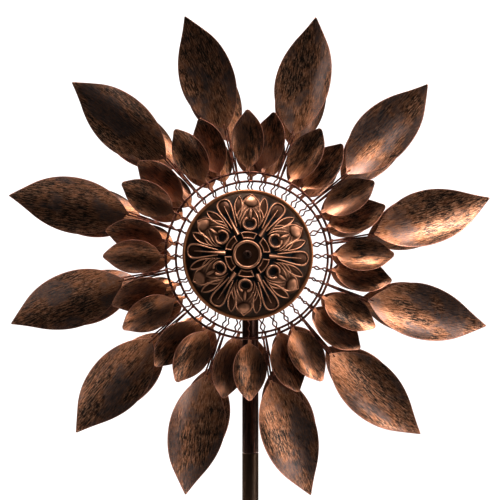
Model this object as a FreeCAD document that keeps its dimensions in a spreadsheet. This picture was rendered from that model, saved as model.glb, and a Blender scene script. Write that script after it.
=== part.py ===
import FreeCAD, Part
import math
import os

import Sketcher
from FreeCAD import Placement, Rotation, Vector

# A garden wind spinner: two petalled rotors turn on one fixed axle at the top of a staked pole.
# +Z is up, the front rotor faces -Y, and the origin is on the pole's axis at ground level.
# Rotor pieces are drawn once, in an outward frame: Z runs from the pole's axis out along the axle.
# The front rotor uses them as drawn and the rear rotor is its mirror image.

SIZES = (
    # the whole spinner
    ("axis_height", 1400, "ground to the axle"),
    ("ring_offset", 55, "pole axis to the plane of each petal ring"),
    ("top_joint_drop", 254, "axle down to the upper tube joint"),
    # ground stake
    ("spike_size", 10, "diameter of the centre spike"),
    ("spike_length", 200, "centre spike below the plate, with its point"),
    ("spike_point", 25, "length of the centre spike's point"),
    ("prong_size", 8, "diameter of a side prong"),
    ("prong_length", 150, "side prong below the plate, with its point"),
    ("prong_point", 20, "length of a side prong's point"),
    ("prong_reach", 60, "pole axis to each side prong"),
    ("plate_thick", 5, "thickness of the foot plate"),
    ("plate_width", 24, "width of each arm of the foot plate"),
    # pole and its joints
    ("pole_outer", 21, "tube outside diameter"),
    ("pole_wall", 1.2, "tube wall"),
    ("coupler_length", 90, "inner sleeve at each tube joint"),
    ("coupler_wall", 1.5, "sleeve wall"),
    ("slide_gap", 0.05, "radial clearance of a sleeve in its tube"),
    ("screw_size", 4, "shank diameter of a pole screw"),
    ("screw_length", 7, "shank length of a pole screw"),
    ("screw_head", 7.5, "head diameter of a pole screw"),
    ("head_thick", 2, "head thickness of a pole screw"),
    ("screw_setback", 22, "tube joint to each screw"),
    ("thread_gap", 0.05, "radial clearance of a screw in its hole"),
    # axle head
    ("barrel_size", 24, "diameter of the head's cross barrel"),
    ("barrel_length", 24, "length of the head's cross barrel"),
    ("neck_drop", 18, "axle down to the top of the upper tube"),
    ("plug_length", 45, "head's plug inside the upper tube"),
    ("axle_size", 8, "axle diameter"),
    ("axle_tail", 1.5, "axle end past the nut"),
    ("press_gap", 0.02, "radial clearance of a seat that does not turn"),
    ("running_gap", 0.05, "radial clearance of the balls in their tracks"),
    # bearings, two in each rotor
    ("spacer_length", 14, "head face to the inner bearing"),
    ("bearing_step", 31, "inner bearing to outer bearing"),
    ("bearing_width", 7, "bearing width"),
    ("bearing_outer", 22, "bearing outside diameter"),
    ("inner_land", 12.4, "outside diameter of the inner race"),
    ("outer_land", 17.8, "inside diameter of the outer race"),
    ("ball_circle", 15, "diameter of the circle of balls"),
    ("ball_size", 3.96, "ball diameter"),
    ("ball_count", 7, "balls in a bearing"),
    ("nut_collar", 1, "round collar of the axle nut"),
    ("nut_height", 6, "hexagon height of the axle nut"),
    ("nut_flats", 13, "hexagon width across flats"),
    # hub
    ("hub_outer", 31, "diameter of the hub barrel"),
    ("hub_shoulder", 19, "bore between the bearings"),
    ("hub_lip", 1, "hub past the inner bearing"),
    ("nut_room", 25, "bore around the axle nut"),
    ("nut_clear", 2, "axle end to the hub cap"),
    ("flange_size", 88, "diameter of the spoke flange"),
    ("flange_thick", 3, "thickness of the spoke flange"),
    ("cap_size", 34, "diameter of the hub cap"),
    ("cap_thick", 3, "thickness of the hub cap"),
    ("cap_spigot", 4, "hub cap's step inside the hub"),
    ("spigot_wall", 2, "wall of that step"),
    ("post_size", 14, "diameter of the post under the medallion"),
    # medallion
    ("rim_forward", 29, "petal ring plane to the medallion's rim"),
    ("dome_size", 150, "diameter of the domed part"),
    ("crown_rise", 15, "height of the dome"),
    ("sheet_thick", 1, "sheet metal thickness"),
    ("band_width", 2.4, "flat band around the dome"),
    ("rim_roll", 3.2, "diameter of the rolled rim"),
    ("boss_size", 34.6, "diameter of the centre boss"),
    ("boss_rise", 2, "boss face above the crown"),
    ("boss_depth", 3, "boss underside below the crown"),
    ("boss_ring", 3.6, "diameter of the bead on the boss"),
    ("centre_screw", 4, "shank diameter of the medallion screw"),
    ("centre_length", 17, "shank length of the medallion screw"),
    ("centre_head", 10.6, "head diameter of the medallion screw"),
    ("centre_crown", 3, "head height of the medallion screw"),
    # ring, spokes and stems
    ("ring_size", 206, "diameter of the petal ring's centre line"),
    ("ring_wire", 3, "wire of the petal ring"),
    ("weld_bite", 0.1, "overlap of two welded wires"),
    ("spoke_count", 36, "crimped spokes"),
    ("spoke_wire", 1.8, "wire of a crimped spoke"),
    ("spoke_inner", 32, "axle to the inner end of a spoke"),
    ("spoke_over", 0.7, "spoke past the ring's centre line"),
    ("spoke_rise", 12.5, "a spoke's inner end in front of its end on the ring"),
    ("crimp_count", 13, "half waves in a spoke"),
    ("crimp_swing", 1.2, "centre line's swing to each side"),
    ("stem_wire", 2, "wire of a petal stem"),
    ("stem_spread", 4, "gap between a stem's two wires at the petal"),
    ("stem_lap", 6, "stem under the petal's base"),
    # petals
    ("petal_thick", 0.9, "petal sheet thickness"),
    ("petal_pitch", 20, "degrees each petal is turned about its length"),
    ("large_count", 12, "large petals in a rotor"),
    ("large_first", 10, "degrees from +X to the first large petal's base"),
    ("large_gap", 53.5, "ring's outer edge to a large petal's base"),
    ("large_length", 150, "large petal, base to tip"),
    ("large_width", 72.5, "large petal's width"),
    ("large_widest", 0.44, "where it is widest, as a share of its length"),
    ("large_tip", 34, "half angle of its tip, degrees"),
    ("large_across", 68, "cup radius across the petal"),
    ("large_along", 340, "cup radius along the petal"),
    ("large_lean", 9.7, "degrees it leans from radial, counter-clockwise from the front"),
    ("large_cone", 0, "degrees its tip is raised outwards"),
    ("stem_sag", 2, "degrees a level stem and its petal hang low, bent at the ring"),
    ("small_count", 12, "small petals in each of the two layers"),
    ("small_gap", 3.5, "ring's outer edge to a small petal's base"),
    ("small_length", 74, "small petal, base to tip"),
    ("small_width", 44, "small petal's width"),
    ("small_widest", 0.45, "where it is widest, as a share of its length"),
    ("small_tip", 42, "half angle of its tip, degrees"),
    ("small_across", 32, "cup radius across the petal"),
    ("small_along", 95, "cup radius along the petal"),
    ("upper_first", 0.4, "degrees from +X to the first petal of the upper layer"),
    ("upper_cone", 7, "degrees the upper layer's tips are raised"),
    ("lower_first", 20, "degrees from +X to the first petal of the lower layer"),
    ("lower_cone", 2, "degrees the lower layer's tips are raised"),
    ("tab_width", 5, "tab at a petal's base"),
    ("tab_lap", 1, "large petal's tab past its base"),
)

FRONT = 1
REAR = -1
MITRED = 1
WIRE_FLATS = 12
X_AXIS = Vector(1, 0, 0)
Y_AXIS = Vector(0, 1, 0)
Z_AXIS = Vector(0, 0, 1)

document = FreeCAD.newDocument("wind_spinner")
sizes = document.addObject("Spreadsheet::Sheet", "sizes")
sub_parts = []


def fill_sheet():
    for row, (alias, number, meaning) in enumerate(SIZES, start=1):
        sizes.set(f"A{row}", meaning)
        sizes.set(f"B{row}", str(number))
        sizes.setAlias(f"B{row}", alias)
    document.recompute()


def number(expression):
    """The value of an expression on the sheet's names."""
    return float(sizes.evalExpression(expression))


def bind(item, **expressions):
    """Tie an object's properties to the sheet; a double underscore stands for a dot."""
    for name, expression in expressions.items():
        item.setExpression(name.replace("__", "."), on_sheet(expression))
    return item


def on_sheet(expression):
    """The same expression with every alias written as the sheet's own."""
    for alias in sorted((row[0] for row in SIZES), key=len, reverse=True):
        expression = swap_word(expression, alias, "sizes." + alias)
    return expression


def swap_word(text, word, replacement):
    """Replace a whole word that is not part of a longer name."""
    result = ""
    position = 0
    while True:
        found = text.find(word, position)
        if found < 0:
            return result + text[position:]
        before = text[found - 1] if found else " "
        after = text[found + len(word)] if found + len(word) < len(text) else " "
        whole = not (before.isalnum() or before in "._") and not (after.isalnum() or after == "_")
        result += text[position:found] + (replacement if whole else word)
        position = found + len(word)


def sub_part(item):
    """Mark an object as one of the spinner's pieces."""
    sub_parts.append(item)
    return item


def cylinder(name, radius, length, base="0"):
    """An upright cylinder that starts at the given height."""
    item = document.addObject("Part::Cylinder", name)
    return bind(item, Radius=radius, Height=length, Placement__Base__z=base)


def cone(name, low_radius, high_radius, length, base="0"):
    item = document.addObject("Part::Cone", name)
    return bind(item, Radius1=low_radius, Radius2=high_radius, Height=length, Placement__Base__z=base)


def torus(name, centre_radius, wire_radius, base="0"):
    item = document.addObject("Part::Torus", name)
    return bind(item, Radius1=centre_radius, Radius2=wire_radius, Placement__Base__z=base)


def cut(name, base, tool):
    item = document.addObject("Part::Cut", name)
    item.Base = base
    item.Tool = tool
    return item


def fuse(name, *pieces):
    item = document.addObject("Part::MultiFuse", name)
    item.Shapes = list(pieces)
    return item


def common(name, *pieces):
    item = document.addObject("Part::MultiCommon", name)
    item.Shapes = list(pieces)
    return item


def tube(name, outer_radius, inner_radius, length, base="0"):
    """An upright tube that starts at the given height."""
    skin = cylinder(name + "_skin", outer_radius, length, base)
    core = cylinder(name + "_core", inner_radius, length, base)
    return cut(name, skin, core)


def shift(x, y, z):
    return Placement(Vector(x, y, z), Rotation())


def turn(axis, degrees):
    return Placement(Vector(), Rotation(axis, degrees))


def outward(side, angle=0):
    """The outward frame of one rotor, with X along the radius at this angle seen from the front."""
    face = Rotation(Y_AXIS, -angle).multiply(Rotation(X_AXIS, 90 * side))
    return Placement(Vector(0, 0, number("axis_height")), face)


def placed(name, blank, places):
    """One sub-part: a copy of the blank at each place."""
    group = document.addObject("Part::Compound", name)
    if len(places) == 1:
        group.Links = [blank]
        group.Placement = places[0]
        return sub_part(group)
    links = []
    for index, place in enumerate(places, start=1):
        link = document.addObject("App::Link", f"{name}_{index:02d}")
        link.LinkedObject = blank
        link.Placement = place
        links.append(link)
    group.Links = links
    return sub_part(group)


def circle_of_angles(count, first=0.0):
    step = 360 / count
    return [first + index * step for index in range(count)]


def origin_plane(body, role):
    return next(feature for feature in body.Origin.OriginFeatures if feature.Role == role)


def sketch_on(body, name, role):
    sketch = body.newObject("Sketcher::SketchObject", name)
    sketch.AttachmentSupport = [(origin_plane(body, role), "")]
    sketch.MapMode = "FlatFace"
    return sketch


def join_ends(sketch, first, last):
    """Close a run of curves that follow each other end to start."""
    for index in range(first, last + 1):
        following = index + 1 if index < last else first
        sketch.addConstraint(Sketcher.Constraint("Coincident", index, 2, following, 1))


def pin_point(sketch, curve, end, across, up):
    """Hold a curve's end at a place given by two expressions."""
    for kind, expression in (("DistanceX", across), ("DistanceY", up)):
        constraint = Sketcher.Constraint(kind, -1, 1, curve, end, number(expression))
        index = sketch.addConstraint(constraint)
        sketch.setExpression(f"Constraints[{index}]", on_sheet(expression))


def turned_body(name, corners):
    """A body of revolution about its own Z; each corner is (radius, height) as expressions."""
    body = document.addObject("PartDesign::Body", name)
    sketch = sketch_on(body, name + "_profile", "XZ_Plane")
    points = [Vector(number(across), number(up), 0) for across, up in corners]
    for start, end in zip(points, points[1:] + points[:1]):
        sketch.addGeometry(Part.LineSegment(start, end))
    join_ends(sketch, 0, len(points) - 1)
    for index, (across, up) in enumerate(corners):
        pin_point(sketch, index, 1, across, up)
    revolution = body.newObject("PartDesign::Revolution", name + "_turning")
    revolution.Profile = sketch
    revolution.ReferenceAxis = (sketch, ["V_Axis"])
    revolution.Angle = 360
    return body


# Heights along the outward frame that several pieces share.
SPACER_START = "barrel_length / 2"
INNER_BEARING = f"({SPACER_START} + spacer_length)"
OUTER_BEARING = f"({INNER_BEARING} + bearing_step)"
BEARING_END = f"({OUTER_BEARING} + bearing_width)"
AXLE_END = f"({BEARING_END} + nut_collar + nut_height + axle_tail)"
HUB_END = f"({AXLE_END} + nut_clear)"
RIM_PLANE = "(ring_offset + rim_forward)"
CROWN = f"({RIM_PLANE} + crown_rise)"
BOSS_UNDERSIDE = f"({CROWN} - boss_depth)"
BOSS_FACE = f"({CROWN} + boss_rise)"
SPOKE_SEAT = "(ring_offset + ring_wire / 2 + spoke_wire / 2 - weld_bite)"
SPOKE_SLOPE = "(spoke_rise / (ring_size / 2 - spoke_inner))"

# The petal ring's outer edge, and the axle to each kind of petal's base.
RING_EDGE = "(ring_size + ring_wire) / 2"
LARGE_REACH = f"({RING_EDGE} + large_gap)"
SMALL_REACH = f"({RING_EDGE} + small_gap)"

# Heights along the pole.
POLE_INNER = "(pole_outer / 2 - pole_wall)"
UPPER_JOINT = "(axis_height - top_joint_drop)"
LOWER_JOINT = f"({UPPER_JOINT} + plate_thick) / 2"
POLE_TOP = "(axis_height - neck_drop)"


def spike(name, size, length, point):
    """A round bar that hangs from the plate and ends in a point."""
    shank = cylinder(name + "_shank", f"{size} / 2", f"{length} - {point}", f"{point} - {length}")
    tip = cone(name + "_tip", "0", f"{size} / 2", point, f"-{length}")
    return fuse(name, shank, tip)


def make_stake():
    sub_part(spike("stake_spike", "spike_size", "spike_length", "spike_point"))
    prong = spike("prong_blank", "prong_size", "prong_length", "prong_point")
    reach = number("prong_reach")
    spots = [turn(Z_AXIS, angle).multiply(shift(reach, 0, 0)) for angle in circle_of_angles(4)]
    placed("stake_prongs", prong, spots)
    arms = []
    for index, (long_side, short_side) in enumerate((("Length", "Width"), ("Width", "Length"))):
        arm = document.addObject("Part::Box", f"plate_arm_{index + 1}")
        arm_length = "2 * prong_reach + plate_width"
        bind(arm, **{long_side: arm_length, short_side: "plate_width", "Height": "plate_thick"})
        long_way, short_way = ("x", "y") if long_side == "Length" else ("y", "x")
        bind(arm, **{f"Placement__Base__{long_way}": f"-({arm_length}) / 2"})
        bind(arm, **{f"Placement__Base__{short_way}": "-plate_width / 2"})
        arms.append(arm)
    sub_part(fuse("stake_plate", *arms))


def screw_holes(name, heights):
    """Straight drills towards +Y at these heights, to be cut from a tube or sleeve."""
    drills = []
    for index, height in enumerate(heights, start=1):
        drill = cylinder(f"{name}_drill_{index}", "screw_size / 2 + thread_gap", "pole_outer", height)
        drill.Placement.Rotation = Rotation(X_AXIS, -90)
        drills.append(drill)
    return drills[0] if len(drills) == 1 else fuse(name + "_drills", *drills)


def make_pole():
    above = f"({UPPER_JOINT} + screw_setback)"
    below = f"({UPPER_JOINT} - screw_setback)"
    low_above = f"({LOWER_JOINT} + screw_setback)"
    low_below = f"({LOWER_JOINT} - screw_setback)"
    sections = (
        ("lower_pole", "plate_thick", LOWER_JOINT, [low_below]),
        ("middle_pole", LOWER_JOINT, UPPER_JOINT, [low_above, below]),
        ("upper_pole", UPPER_JOINT, POLE_TOP, [above]),
    )
    for name, bottom, top, holes in sections:
        whole = tube(name + "_tube", "pole_outer / 2", POLE_INNER, f"{top} - ({bottom})", bottom)
        sub_part(cut(name, whole, screw_holes(name, holes)))
    sleeve_radius = f"({POLE_INNER} - slide_gap)"
    sleeve = tube("sleeve_tube", sleeve_radius, f"{sleeve_radius} - coupler_wall", "coupler_length")
    middle = "coupler_length / 2"
    holes = screw_holes("sleeve", [f"{middle} - screw_setback", f"{middle} + screw_setback"])
    sleeve = cut("sleeve_blank", sleeve, holes)
    joints = [number(f"{joint} - {middle}") for joint in (LOWER_JOINT, UPPER_JOINT)]
    placed("pole_couplers", sleeve, [shift(0, 0, height) for height in joints])
    shank = cylinder("screw_shank", "screw_size / 2", "screw_length", "pole_outer / 2 - screw_length")
    head = cylinder("screw_cap", "screw_head / 2", "head_thick", "pole_outer / 2")
    screw = fuse("screw_blank", shank, head)
    heights = [number(height) for height in (low_below, low_above, below, above)]
    level = turn(X_AXIS, -90)
    placed("pole_screws", screw, [shift(0, 0, height).multiply(level) for height in heights])


def make_head():
    """The cast head: a cross barrel for the axle, a neck as wide as the tube, and a plug inside it."""
    barrel = cylinder("head_barrel", "barrel_size / 2", "barrel_length", "axis_height")
    barrel.Placement.Rotation = Rotation(X_AXIS, 90)
    bind(barrel, Placement__Base__y="barrel_length / 2")
    neck = cylinder("head_neck", "pole_outer / 2", "neck_drop", POLE_TOP)
    plug = cylinder("head_plug", f"{POLE_INNER} - slide_gap", "plug_length", f"{POLE_TOP} - plug_length")
    solid = fuse("head_solid", barrel, neck, plug)
    bore = cylinder("head_bore", "axle_size / 2 + press_gap", "2 * barrel_length", "axis_height")
    bore.Placement.Rotation = Rotation(X_AXIS, 90)
    bind(bore, Placement__Base__y="barrel_length")
    sub_part(cut("pole_head", solid, bore))
    axle = cylinder("axle", "axle_size / 2", f"2 * {AXLE_END}", "axis_height")
    axle.Placement.Rotation = Rotation(X_AXIS, 90)
    bind(axle, Placement__Base__y=AXLE_END)
    sub_part(axle)
    bore_radius = "axle_size / 2 + press_gap"
    spacer = tube("spacer_blank", "inner_land / 2", bore_radius, "spacer_length", SPACER_START)
    placed("axle_spacers", spacer, [outward(FRONT), outward(REAR)])
    make_nuts(bore_radius)


def make_nuts(bore_radius):
    collar = cylinder("nut_round", "inner_land / 2", "nut_collar", BEARING_END)
    hexagon = document.addObject("Part::Prism", "nut_hexagon")
    hexagon.Polygon = 6
    bind(hexagon, Circumradius="nut_flats / 2 / cos(30)", Height="nut_height")
    bind(hexagon, Placement__Base__z=f"{BEARING_END} + nut_collar")
    solid = fuse("nut_solid", collar, hexagon)
    bore = cylinder("nut_bore", bore_radius, "nut_collar + nut_height", BEARING_END)
    placed("axle_nuts", cut("nut_blank", solid, bore), [outward(FRONT), outward(REAR)])


def make_bearings():
    """Ball bearings; the inner races stay with the axle and the rest turns with its rotor."""
    middle = "bearing_width / 2"
    track = "ball_size / 2 + running_gap"
    inner = tube("inner_ring", "inner_land / 2", "axle_size / 2 + press_gap", "bearing_width")
    outer = tube("outer_ring", "bearing_outer / 2 - press_gap", "outer_land / 2", "bearing_width")
    inner_track = torus("inner_track", "ball_circle / 2", track, middle)
    outer_track = torus("outer_track", "ball_circle / 2", track, middle)
    inner = cut("inner_race_blank", inner, inner_track)
    outer = cut("outer_race_blank", outer, outer_track)
    ball = document.addObject("Part::Sphere", "ball_blank")
    bind(ball, Radius="ball_size / 2")
    starts = [number(INNER_BEARING), number(OUTER_BEARING)]
    seats = {}
    for side in (FRONT, REAR):
        seats[side] = [outward(side).multiply(shift(0, 0, start)) for start in starts]
    placed("bearing_inner_races", inner, seats[FRONT] + seats[REAR])
    for side, rotor in ((FRONT, "front"), (REAR, "rear")):
        placed(f"{rotor}_outer_races", outer, seats[side])
        ring = []
        for seat in seats[side]:
            for angle in circle_of_angles(int(number("ball_count"))):
                spot = shift(number("ball_circle / 2"), 0, number(middle))
                ring.append(seat.multiply(turn(Z_AXIS, angle)).multiply(spot))
        placed(f"{rotor}_bearing_balls", ball, ring)


def flange_height(radius):
    """The spoke flange's face at a radius: it lies just under the sloping spokes."""
    rise = f"(ring_size / 2 - {radius}) * {SPOKE_SLOPE}"
    return f"({SPOKE_SEAT} + {rise} - spoke_wire / 2 + weld_bite)"


def hub_blank():
    barrel = "hub_outer / 2"
    seat = "bearing_outer / 2"
    rim = "flange_size / 2"
    corners = [
        (seat, f"{INNER_BEARING} - hub_lip"),
        (barrel, f"{INNER_BEARING} - hub_lip"),
        (barrel, f"{flange_height(barrel)} - flange_thick"),
        (rim, f"{flange_height(rim)} - flange_thick"),
        (rim, flange_height(rim)),
        (barrel, flange_height(barrel)),
        (barrel, HUB_END),
        ("nut_room / 2", HUB_END),
        ("nut_room / 2", BEARING_END),
        (seat, BEARING_END),
        (seat, OUTER_BEARING),
        ("hub_shoulder / 2", OUTER_BEARING),
        ("hub_shoulder / 2", f"{INNER_BEARING} + bearing_width"),
        (seat, f"{INNER_BEARING} + bearing_width"),
    ]
    return turned_body("hub_blank", corners)


def cap_blank():
    """The hub cap: a step inside the hub, a flange on its face, and a post up to the medallion."""
    spigot = "nut_room / 2 - slide_gap"
    hole = "centre_screw / 2 + thread_gap"
    floor = f"({HUB_END} + cap_thick)"
    hole_floor = f"{BOSS_FACE} - centre_length"
    corners = [
        ("0", HUB_END),
        (f"{spigot} - spigot_wall", HUB_END),
        (f"{spigot} - spigot_wall", f"{HUB_END} - cap_spigot"),
        (spigot, f"{HUB_END} - cap_spigot"),
        (spigot, HUB_END),
        ("cap_size / 2", HUB_END),
        ("cap_size / 2", floor),
        ("post_size / 2", floor),
        ("post_size / 2", BOSS_UNDERSIDE),
        (hole, BOSS_UNDERSIDE),
        (hole, hole_floor),
        ("0", hole_floor),
    ]
    return turned_body("cap_blank", corners)


def medallion_blank():
    """A pressed sheet dome with a flat band, a rolled rim and a drilled centre boss."""
    reach = "dome_size / 2"
    dome_radius = f"({reach} * {reach} + crown_rise * crown_rise) / (2 * crown_rise)"
    spheres = []
    for name, radius in (("dome_outside", dome_radius), ("dome_inside", f"{dome_radius} - sheet_thick")):
        sphere = document.addObject("Part::Sphere", name)
        bind(sphere, Radius=radius, Placement__Base__z=f"{CROWN} - {dome_radius}")
        spheres.append(sphere)
    skin_depth = "2 * sheet_thick"
    trim = cylinder("dome_trim", reach, f"crown_rise + {skin_depth}", f"{RIM_PLANE} - {skin_depth}")
    dome = common("dome", cut("dome_skin", *spheres), trim)
    band_outer = f"{reach} + band_width"
    band = tube("band", band_outer, f"{reach} - sheet_thick", "sheet_thick", f"{RIM_PLANE} - sheet_thick")
    roll = torus("rim_torus", band_outer, "rim_roll / 2", f"{RIM_PLANE} - sheet_thick / 2")
    boss = cylinder("boss", "boss_size / 2", "boss_depth + boss_rise", BOSS_UNDERSIDE)
    bead = torus("boss_bead", "(boss_size - boss_ring) / 2", "boss_ring / 2", BOSS_FACE)
    solid = fuse("medallion_solid", dome, band, roll, boss, bead)
    hole = cylinder("medallion_hole", "centre_screw / 2 + thread_gap", "crown_rise", BOSS_UNDERSIDE)
    return cut("medallion_blank", solid, hole)


def centre_screw_blank():
    shank = cylinder("centre_shank", "centre_screw / 2", "centre_length", f"{BOSS_FACE} - centre_length")
    head = cone("centre_cap", "centre_head / 2", "centre_head / 3", "centre_crown", BOSS_FACE)
    return fuse("centre_screw_blank", shank, head)


def spoke_blank():
    """One crimped spoke: a wire bent left and right in turn, drawn with flats to keep it light."""
    length = number("ring_size / 2 + spoke_over - spoke_inner")
    bends = int(number("crimp_count"))
    pitch = length / bends
    swing = number("crimp_swing")
    corners = [Vector(-length, 0, 0)]
    for index in range(bends):
        side = swing if index % 2 else -swing
        corners.append(Vector((index + 0.5) * pitch - length, side, 0))
    corners.append(Vector(0, 0, 0))
    path = Part.makePolygon(corners)
    flats = [turn(Z_AXIS, angle).multVec(X_AXIS) for angle in circle_of_angles(WIRE_FLATS)]
    section = Part.makePolygon([flat * number("spoke_wire / 2") for flat in flats + flats[:1]])
    section.Placement = Placement(corners[0], Rotation(Z_AXIS, corners[1] - corners[0]))
    blank = document.addObject("Part::Feature", "spoke_blank")
    blank.Shape = path.makePipeShell([section], True, False, MITRED)
    return blank


def stem_blank():
    """One hairpin stem: two wires that meet at the ring and spread under the petal."""
    wire = number("stem_wire / 2")
    start = Vector(number("ring_size / 2"), 0, 0)
    reach = number(f"{LARGE_REACH} + stem_lap")
    legs = []
    for side in (1, -1):
        end = Vector(reach, side * number("stem_spread / 2"), 0)
        leg = end.sub(start)
        legs.append(Part.makeCylinder(wire, leg.Length, start, leg))
    blank = document.addObject("Part::Feature", "stem_blank")
    blank.Shape = legs[0].fuse(legs[1])
    return blank


class Leaf:
    """The drawn shape of one kind of petal, read from the sheet; lengths run along X from -half."""

    def __init__(self, kind, reach, tab_length):
        self.kind = kind
        self.reach = reach
        self.half = number(f"{kind}_length / 2")
        self.top = number(f"{kind}_width / 2")
        self.swell = number(f"{kind}_length * ({kind}_widest - 0.5)")
        self.along = number(f"{kind}_along")
        self.across = number(f"{kind}_across")
        self.tip = math.radians(number(f"{kind}_tip"))
        self.tab_length = tab_length
        self.tab_half = number("tab_width / 2")

    def seat_depth(self):
        """From the centre of the lengthwise curve down to the petal's two ends."""
        return math.sqrt(self.along ** 2 - self.half ** 2)

    def tip_radius(self):
        """The arc that is level at the widest point and tangent to the straight tip."""
        fall = self.top - (self.half - self.swell) * math.tan(self.tip)
        return fall / (1 - 1 / math.cos(self.tip))

    def base_radius(self):
        """The arc that is level at the widest point and aims at the base."""
        run = self.half + self.swell
        return (run ** 2 + self.top ** 2) / (2 * self.top)

    def curves(self):
        """The outline, counter-clockwise from the tip and back to it."""
        tip_arc = self.tip_radius()
        base_arc = self.base_radius()
        bend = Vector(self.swell + tip_arc * math.sin(self.tip), 0, 0)
        bend.y = self.top - tip_arc * (1 - math.cos(self.tip))
        rise = base_arc - self.top + self.tab_half
        neck = Vector(self.swell - math.sqrt(base_arc ** 2 - rise ** 2), self.tab_half, 0)
        tip = Vector(self.half, 0, 0)
        foot = Vector(-self.half - self.tab_length, self.tab_half, 0)
        level = math.pi / 2
        neck_angle = math.acos((neck.x - self.swell) / base_arc)
        upper_tip = Vector(self.swell, self.top - tip_arc, 0)
        upper_base = Vector(self.swell, self.top - base_arc, 0)
        return [
            Part.LineSegment(tip, bend),
            arc_about(upper_tip, tip_arc, level - self.tip, level),
            arc_about(upper_base, base_arc, level, neck_angle),
            Part.LineSegment(neck, foot),
            Part.LineSegment(foot, flipped(foot)),
            Part.LineSegment(flipped(foot), flipped(neck)),
            arc_about(flipped(upper_base), base_arc, -neck_angle, -level),
            arc_about(flipped(upper_tip), tip_arc, -level, self.tip - level),
            Part.LineSegment(flipped(bend), tip),
        ]


def flipped(point):
    return Vector(point.x, -point.y, point.z)


def arc_about(centre, radius, first, last):
    return Part.ArcOfCircle(Part.Circle(centre, Z_AXIS, radius), first, last)


def cup_section(body, leaf):
    """The sheet's cross section: two arcs about one centre, below the lengthwise axis."""
    sketch = sketch_on(body, leaf.kind + "_section", "YZ_Plane")
    inner = leaf.across - number("petal_thick")
    centre = Vector(0, leaf.across - leaf.along, 0)
    reach = min(1.2 * math.asin(leaf.top / leaf.across), math.pi / 2)
    first = -math.pi / 2 - reach
    last = -math.pi / 2 + reach
    outer_arc = arc_about(centre, leaf.across, first, last)
    inner_arc = arc_about(centre, inner, first, last)
    sketch.addGeometry(outer_arc)
    sketch.addGeometry(Part.LineSegment(outer_arc.EndPoint, inner_arc.EndPoint))
    sketch.addGeometry(inner_arc)
    sketch.addGeometry(Part.LineSegment(inner_arc.StartPoint, outer_arc.StartPoint))
    joins = ((0, 2, 1, 1), (1, 2, 2, 2), (2, 1, 3, 1), (3, 2, 0, 1), (2, 3, 0, 3))
    for first_curve, first_end, second_curve, second_end in joins:
        ends = (first_curve, first_end, second_curve, second_end)
        sketch.addConstraint(Sketcher.Constraint("Coincident", *ends))
    pin_point(sketch, 0, 3, "0", f"{leaf.kind}_across - {leaf.kind}_along")
    for curve, expression in ((0, f"{leaf.kind}_across"), (2, f"{leaf.kind}_across - petal_thick")):
        index = sketch.addConstraint(Sketcher.Constraint("Radius", curve, number(expression)))
        sketch.setExpression(f"Constraints[{index}]", on_sheet(expression))
    return sketch


def trim_outline(body, leaf):
    """A frame around the leaf outline: what lies between them is cut away."""
    sketch = sketch_on(body, leaf.kind + "_outline", "XY_Plane")
    curves = leaf.curves()
    for curve in curves:
        sketch.addGeometry(curve)
    join_ends(sketch, 0, len(curves) - 1)
    pin_point(sketch, 0, 1, f"{leaf.kind}_length / 2", "0")
    widest = f"{leaf.kind}_length * ({leaf.kind}_widest - 0.5)"
    pin_point(sketch, 1, 2, widest, f"{leaf.kind}_width / 2")
    pin_point(sketch, 6, 2, widest, f"-{leaf.kind}_width / 2")
    margin = leaf.half
    corner = Vector(leaf.half + margin, leaf.top + margin, 0)
    frame = [corner, Vector(-corner.x, corner.y, 0), Vector(-corner.x, -corner.y, 0), flipped(corner)]
    for start, end in zip(frame, frame[1:] + frame[:1]):
        sketch.addGeometry(Part.LineSegment(start, end))
    join_ends(sketch, len(curves), len(curves) + len(frame) - 1)
    return sketch


def leaf_blank(leaf):
    """A petal: a cupped strip of sheet, trimmed to its outline."""
    body = document.addObject("PartDesign::Body", leaf.kind + "_petal_blank")
    section = cup_section(body, leaf)
    strip = body.newObject("PartDesign::Revolution", leaf.kind + "_strip")
    strip.Profile = section
    strip.ReferenceAxis = (section, ["H_Axis"])
    strip.Midplane = True
    strip.Angle = 2 * math.degrees(math.asin(1.2 * leaf.half / leaf.along))
    document.recompute()
    outline = trim_outline(body, leaf)
    trim = body.newObject("PartDesign::Pocket", leaf.kind + "_trim")
    trim.Profile = outline
    trim.Midplane = True
    trim.Type = 0
    trim.setExpression("Length", on_sheet(f"4 * {leaf.kind}_along"))
    return body


def hung(side, angle):
    """The outward frame at a stem's angle, swung down about the stem's weld on the ring."""
    weld_reach = number("ring_size / 2")
    sag = -side * number("stem_sag") * math.cos(math.radians(angle))
    place = outward(side, angle).multiply(shift(weld_reach, 0, 0))
    return place.multiply(turn(Z_AXIS, sag)).multiply(shift(-weld_reach, 0, 0))


def petal_place(start, side, leaf, lift, lean, cone_angle):
    """Seat a petal's base on its reach, lean it, raise its tip, and turn it about its own length."""
    place = start.multiply(shift(leaf.reach, 0, lift))
    place = place.multiply(turn(Z_AXIS, side * lean))
    place = place.multiply(turn(Y_AXIS, -cone_angle))
    place = place.multiply(turn(X_AXIS, -side * number("petal_pitch")))
    return place.multiply(shift(leaf.half, 0, leaf.seat_depth()))


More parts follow.
